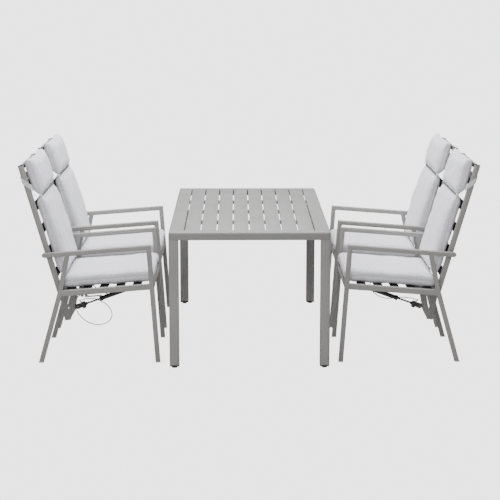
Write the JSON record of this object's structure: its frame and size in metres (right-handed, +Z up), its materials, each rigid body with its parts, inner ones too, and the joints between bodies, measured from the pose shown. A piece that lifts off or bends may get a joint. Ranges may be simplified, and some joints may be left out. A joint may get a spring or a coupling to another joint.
{
  "type": "patio dining set",
  "caption": "Slatted metal garden table with high-back reclining armchairs on both long sides, tubular frames, strapped seats, padded cushions and gas-spring recliners",
  "frame": {"origin": "on the floor under the middle of the table", "axes": "+Z up; X runs across the table from one row of chairs to the other; Y runs along the table, away from the viewer"},
  "size_m": [2.4578, 1.597, 1.1077],
  "materials": {
    "top_frame": "satin powder coat, warm light grey",
    "slats": "satin powder coat, warm light grey",
    "table_leg": "satin powder coat, warm grey",
    "chair_tube": "satin powder coat, warm grey",
    "cushion": "woven outdoor fabric, pale grey melange",
    "webbing": "woven elastic strap, black",
    "spring_body": "gloss black paint",
    "spring_rod": "black oxide",
    "foot": "moulded black nylon",
    "cable": "black sheath"
  },
  "bodies": {
    "table": {"table_top_frame": "top_frame", "table_slats": "slats", "table_leg_left_near": "table_leg", "table_foot_left_near": "foot", "table_leg_left_far": "table_leg", "table_foot_left_far": "foot", "table_leg_right_near": "table_leg", "table_foot_right_near": "foot", "table_leg_right_far": "table_leg", "table_foot_right_far": "foot"},
    "chair_1_frame": {"chair_1_side_frame_left": "chair_tube", "chair_1_side_frame_right": "chair_tube", "chair_1_seat_frame": "chair_tube", "chair_1_seat_webbing": "webbing", "chair_1_seat_cushion": "cushion", "chair_1_release_cable": "cable"},
    "chair_1_back": {"chair_1_back_frame": "chair_tube", "chair_1_back_webbing": "webbing", "chair_1_back_cushion": "cushion"},
    "chair_1_cylinder": {"chair_1_gas_cylinder": "spring_body"},
    "chair_1_rod": {"chair_1_gas_rod": "spring_rod"},
    "chair_1_lever": {"chair_1_release_lever": "chair_tube"},
    "chair_2_frame": {"chair_2_side_frame_left": "chair_tube", "chair_2_side_frame_right": "chair_tube", "chair_2_seat_frame": "chair_tube", "chair_2_seat_webbing": "webbing", "chair_2_seat_cushion": "cushion", "chair_2_release_cable": "cable"},
    "chair_2_back": {"chair_2_back_frame": "chair_tube", "chair_2_back_webbing": "webbing", "chair_2_back_cushion": "cushion"},
    "chair_2_cylinder": {"chair_2_gas_cylinder": "spring_body"},
    "chair_2_rod": {"chair_2_gas_rod": "spring_rod"},
    "chair_2_lever": {"chair_2_release_lever": "chair_tube"},
    "chair_3_frame": {"chair_3_side_frame_left": "chair_tube", "chair_3_side_frame_right": "chair_tube", "chair_3_seat_frame": "chair_tube", "chair_3_seat_webbing": "webbing", "chair_3_seat_cushion": "cushion", "chair_3_release_cable": "cable"},
    "chair_3_back": {"chair_3_back_frame": "chair_tube", "chair_3_back_webbing": "webbing", "chair_3_back_cushion": "cushion"},
    "chair_3_cylinder": {"chair_3_gas_cylinder": "spring_body"},
    "chair_3_rod": {"chair_3_gas_rod": "spring_rod"},
    "chair_3_lever": {"chair_3_release_lever": "chair_tube"},
    "chair_4_frame": {"chair_4_side_frame_left": "chair_tube", "chair_4_side_frame_right": "chair_tube", "chair_4_seat_frame": "chair_tube", "chair_4_seat_webbing": "webbing", "chair_4_seat_cushion": "cushion", "chair_4_release_cable": "cable"},
    "chair_4_back": {"chair_4_back_frame": "chair_tube", "chair_4_back_webbing": "webbing", "chair_4_back_cushion": "cushion"},
    "chair_4_cylinder": {"chair_4_gas_cylinder": "spring_body"},
    "chair_4_rod": {"chair_4_gas_rod": "spring_rod"},
    "chair_4_lever": {"chair_4_release_lever": "chair_tube"}
  },
  "joints": [
    {"name": "chair_1_slide", "type": "slide", "parent": "table", "child": "chair_1_frame", "axis": [1, 0, 0], "range_m": [-0.35, 0.4]},
    {"name": "chair_1_recline", "type": "hinge", "parent": "chair_1_frame", "child": "chair_1_back", "pos_m": [-1.0195, -0.39, 0.38224], "axis": [0, -1, 0], "range_deg": [0, 28], "deforming": ["chair_1_release_cable"]},
    {"name": "chair_1_cylinder_tilt", "type": "hinge", "parent": "chair_1_frame", "child": "chair_1_cylinder", "pos_m": [-0.60881, -0.39, 0.37053], "axis": [0, 1, 0], "range_deg": [0, 4.3]},
    {"name": "chair_1_rod_slide", "type": "slide", "parent": "chair_1_cylinder", "child": "chair_1_rod", "axis": [0.9422, 0, 0.335], "range_m": [0, 0.069]},
    {"name": "chair_1_lever_pull", "type": "hinge", "parent": "chair_1_frame", "child": "chair_1_lever", "pos_m": [-0.8785, -0.665, 0.36903], "axis": [0, -1, 0], "range_deg": [0, 5], "stiffness_Nm_per_rad": 0.4, "springref_deg": -5.73},
    {"name": "chair_2_slide", "type": "slide", "parent": "table", "child": "chair_2_frame", "axis": [1, 0, 0], "range_m": [-0.35, 0.4]},
    {"name": "chair_2_recline", "type": "hinge", "parent": "chair_2_frame", "child": "chair_2_back", "pos_m": [-1.0195, 0.39, 0.38224], "axis": [0, -1, 0], "range_deg": [0, 28], "deforming": ["chair_2_release_cable"]},
    {"name": "chair_2_cylinder_tilt", "type": "hinge", "parent": "chair_2_frame", "child": "chair_2_cylinder", "pos_m": [-0.60881, 0.39, 0.37053], "axis": [0, 1, 0], "range_deg": [0, 4.3]},
    {"name": "chair_2_rod_slide", "type": "slide", "parent": "chair_2_cylinder", "child": "chair_2_rod", "axis": [0.9422, 0, 0.335], "range_m": [0, 0.069]},
    {"name": "chair_2_lever_pull", "type": "hinge", "parent": "chair_2_frame", "child": "chair_2_lever", "pos_m": [-0.8785, 0.115, 0.36903], "axis": [0, -1, 0], "range_deg": [0, 5], "stiffness_Nm_per_rad": 0.4, "springref_deg": -5.73},
    {"name": "chair_3_slide", "type": "slide", "parent": "table", "child": "chair_3_frame", "axis": [-1, 0, 0], "range_m": [-0.35, 0.4]},
    {"name": "chair_3_recline", "type": "hinge", "parent": "chair_3_frame", "child": "chair_3_back", "pos_m": [1.0195, -0.39, 0.38224], "axis": [0, 1, 0], "range_deg": [0, 28], "deforming": ["chair_3_release_cable"]},
    {"name": "chair_3_cylinder_tilt", "type": "hinge", "parent": "chair_3_frame", "child": "chair_3_cylinder", "pos_m": [0.60881, -0.39, 0.37053], "axis": [0, -1, 0], "range_deg": [0, 4.3]},
    {"name": "chair_3_rod_slide", "type": "slide", "parent": "chair_3_cylinder", "child": "chair_3_rod", "axis": [-0.9422, 0, 0.335], "range_m": [0, 0.069]},
    {"name": "chair_3_lever_pull", "type": "hinge", "parent": "chair_3_frame", "child": "chair_3_lever", "pos_m": [0.8785, -0.115, 0.36903], "axis": [0, 1, 0], "range_deg": [0, 5], "stiffness_Nm_per_rad": 0.4, "springref_deg": -5.73},
    {"name": "chair_4_slide", "type": "slide", "parent": "table", "child": "chair_4_frame", "axis": [-1, 0, 0], "range_m": [-0.35, 0.4]},
    {"name": "chair_4_recline", "type": "hinge", "parent": "chair_4_frame", "child": "chair_4_back", "pos_m": [1.0195, 0.39, 0.38224], "axis": [0, 1, 0], "range_deg": [0, 28], "deforming": ["chair_4_release_cable"]},
    {"name": "chair_4_cylinder_tilt", "type": "hinge", "parent": "chair_4_frame", "child": "chair_4_cylinder", "pos_m": [0.60881, 0.39, 0.37053], "axis": [0, -1, 0], "range_deg": [0, 4.3]},
    {"name": "chair_4_rod_slide", "type": "slide", "parent": "chair_4_cylinder", "child": "chair_4_rod", "axis": [-0.9422, 0, 0.335], "range_m": [0, 0.069]},
    {"name": "chair_4_lever_pull", "type": "hinge", "parent": "chair_4_frame", "child": "chair_4_lever", "pos_m": [0.8785, 0.665, 0.36903], "axis": [0, 1, 0], "range_deg": [0, 5], "stiffness_Nm_per_rad": 0.4, "springref_deg": -5.73}
  ],
  "couplings": [
    {"joint": "chair_1_cylinder_tilt", "follows": "chair_1_recline", "ratio": 0.15},
    {"joint": "chair_1_rod_slide", "follows": "chair_1_recline", "m_per_rad": 0.1395},
    {"joint": "chair_2_cylinder_tilt", "follows": "chair_2_recline", "ratio": 0.15},
    {"joint": "chair_2_rod_slide", "follows": "chair_2_recline", "m_per_rad": 0.1395},
    {"joint": "chair_3_cylinder_tilt", "follows": "chair_3_recline", "ratio": 0.15},
    {"joint": "chair_3_rod_slide", "follows": "chair_3_recline", "m_per_rad": 0.1395},
    {"joint": "chair_4_cylinder_tilt", "follows": "chair_4_recline", "ratio": 0.15},
    {"joint": "chair_4_rod_slide", "follows": "chair_4_recline", "m_per_rad": 0.1395}
  ]
}
